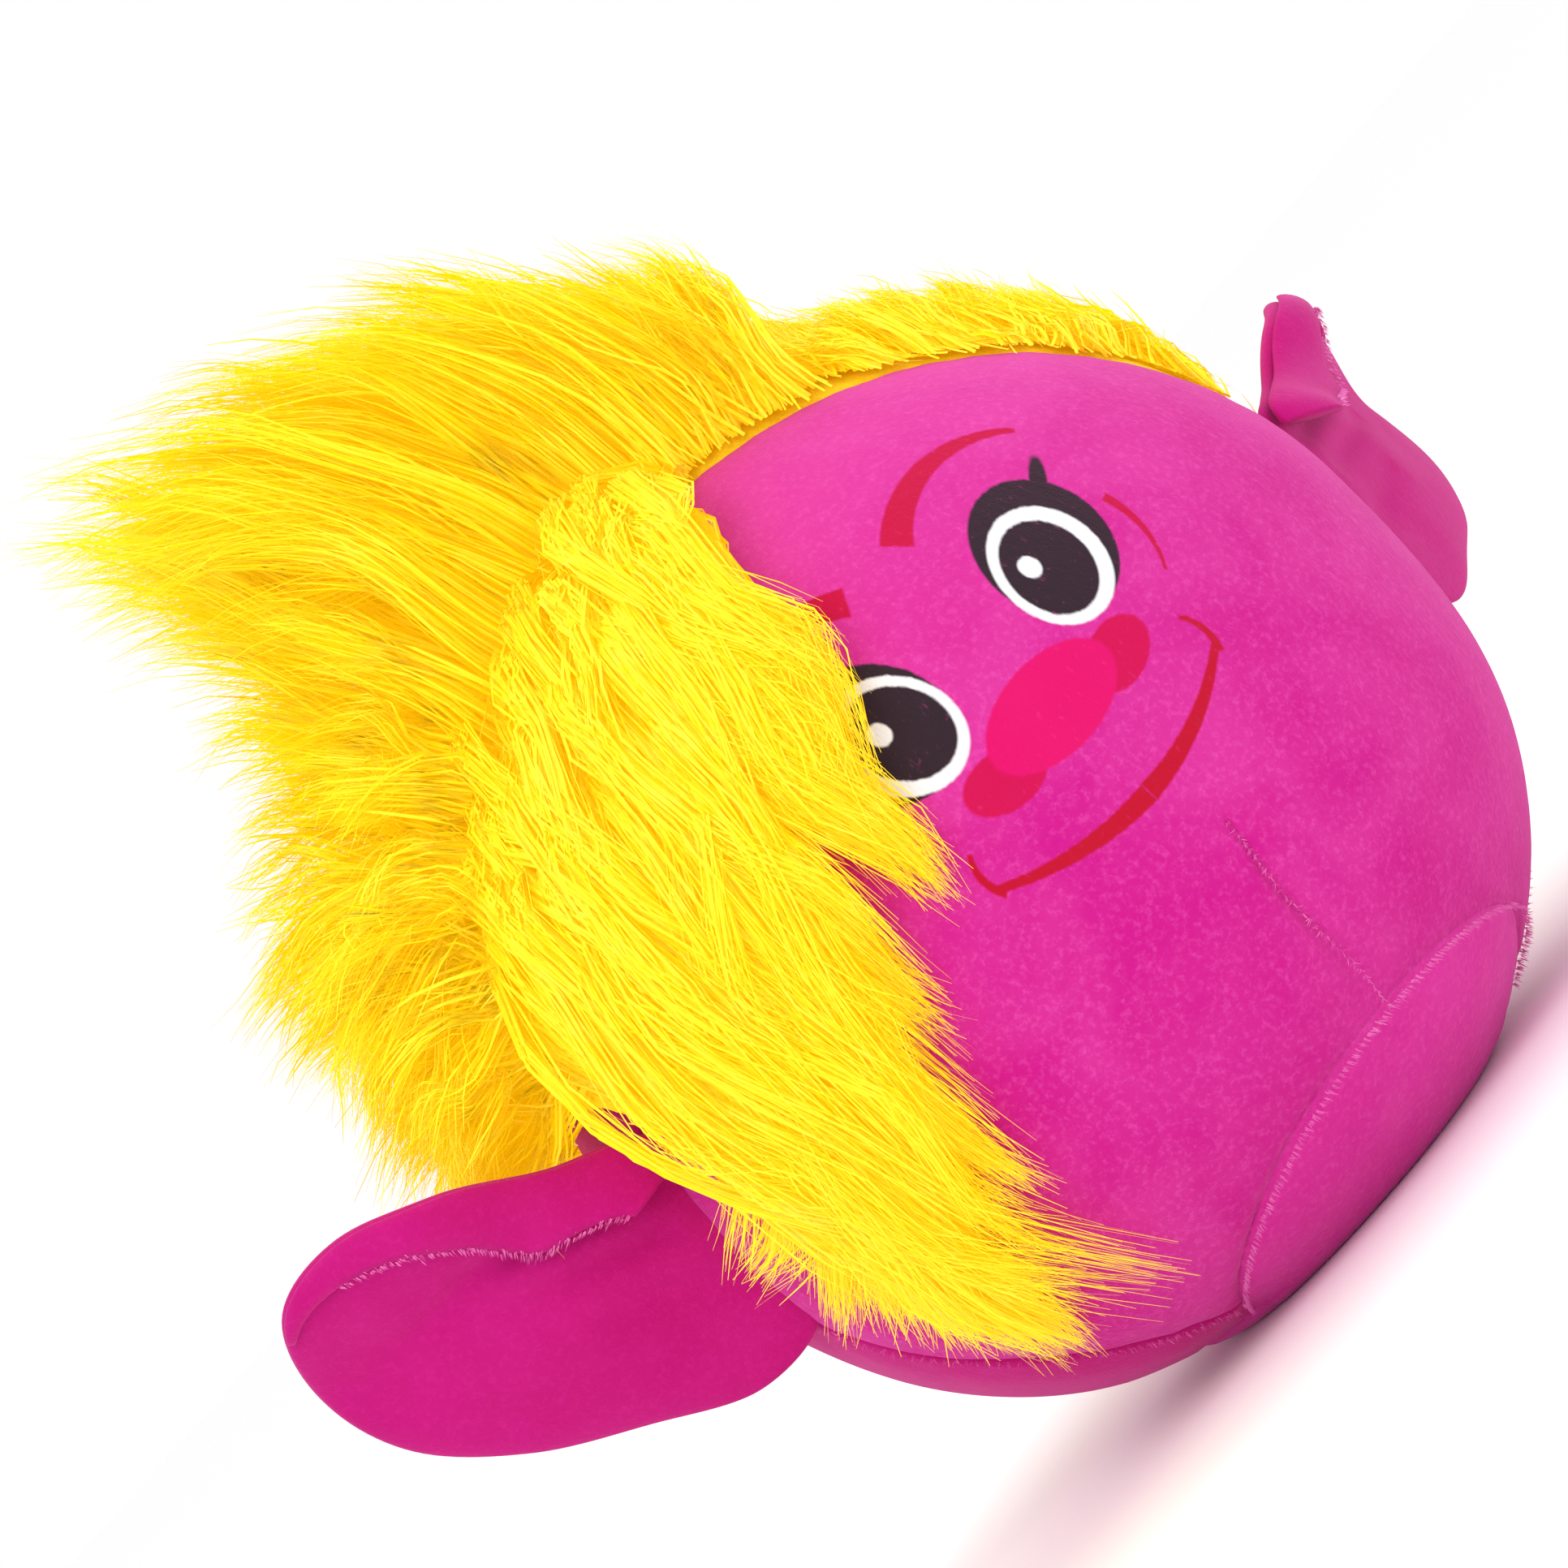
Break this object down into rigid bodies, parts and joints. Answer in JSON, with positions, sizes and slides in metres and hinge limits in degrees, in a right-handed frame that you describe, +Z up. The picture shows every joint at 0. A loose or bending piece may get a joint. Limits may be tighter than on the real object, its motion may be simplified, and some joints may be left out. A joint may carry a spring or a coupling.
{
  "type": "stuffed plush head cushion",
  "caption": "Round velour plush head cushion with a printed smiling face, two padded flap ears, a flat base and a swept crest of long fur hair.",
  "frame": {"origin": "centre of the underside of the flat base", "axes": "+Z up out of the base, +X to the right of someone who faces the printed face, +Y from the face to the back of the head"},
  "size_m": [0.4712, 0.3177, 0.4338],
  "materials": {
    "printed_velour": "short stretch velour, printed, soft matt with a light rim sheen",
    "base_velour": "short stretch velour, soft matt",
    "magenta_velour": "short stretch velour, soft matt",
    "fur_backing": "knitted backing of long-pile fur",
    "long_pile_fur": "long straight acrylic pile, glossy",
    "sewing_thread": "spun polyester thread",
    "polyester_fibre": "loose white hollow fibre"
  },
  "bodies": {
    "head": {"fibre_filling": "polyester_fibre", "face_panel": "printed_velour", "base_panel": "base_velour", "back_panel_left": "magenta_velour", "back_panel_right": "magenta_velour", "scalp_left": "fur_backing", "scalp_right": "fur_backing", "hair_crest": "long_pile_fur", "hair_fringe_right": "long_pile_fur", "hair_side_left": "long_pile_fur", "hair_back": "long_pile_fur", "hair_forelock": "long_pile_fur", "thread_dart": "sewing_thread", "thread_crown": "sewing_thread", "thread_back_centre": "sewing_thread", "thread_base": "sewing_thread", "thread_hairline_left": "sewing_thread", "thread_hairline_right": "sewing_thread", "thread_cheek_left": "sewing_thread", "thread_cheek_right": "sewing_thread", "thread_chin_left": "sewing_thread", "thread_chin_right": "sewing_thread", "thread_scalp_left": "sewing_thread", "thread_scalp_right": "sewing_thread"},
    "ear_left": {"ear_left_front": "magenta_velour", "ear_left_back": "magenta_velour", "ear_left_wadding": "polyester_fibre", "ear_left_edge_thread": "sewing_thread"},
    "ear_right": {"ear_right_front": "magenta_velour", "ear_right_back": "magenta_velour", "ear_right_wadding": "polyester_fibre", "ear_right_edge_thread": "sewing_thread"}
  },
  "joints": [
    {"name": "ear_left_flap", "type": "hinge", "parent": "head", "child": "ear_left", "pos_m": [-0.14821, -0.01111, 0.097], "axis": [0.0218, -0.2864, 0.9579], "range_deg": [-36, 25], "stiffness_Nm_per_rad": 0.3},
    {"name": "ear_right_flap", "type": "hinge", "parent": "head", "child": "ear_right", "pos_m": [0.14821, -0.01111, 0.097], "axis": [0.0218, 0.2864, -0.9579], "range_deg": [-4, 45], "stiffness_Nm_per_rad": 0.3}
  ]
}
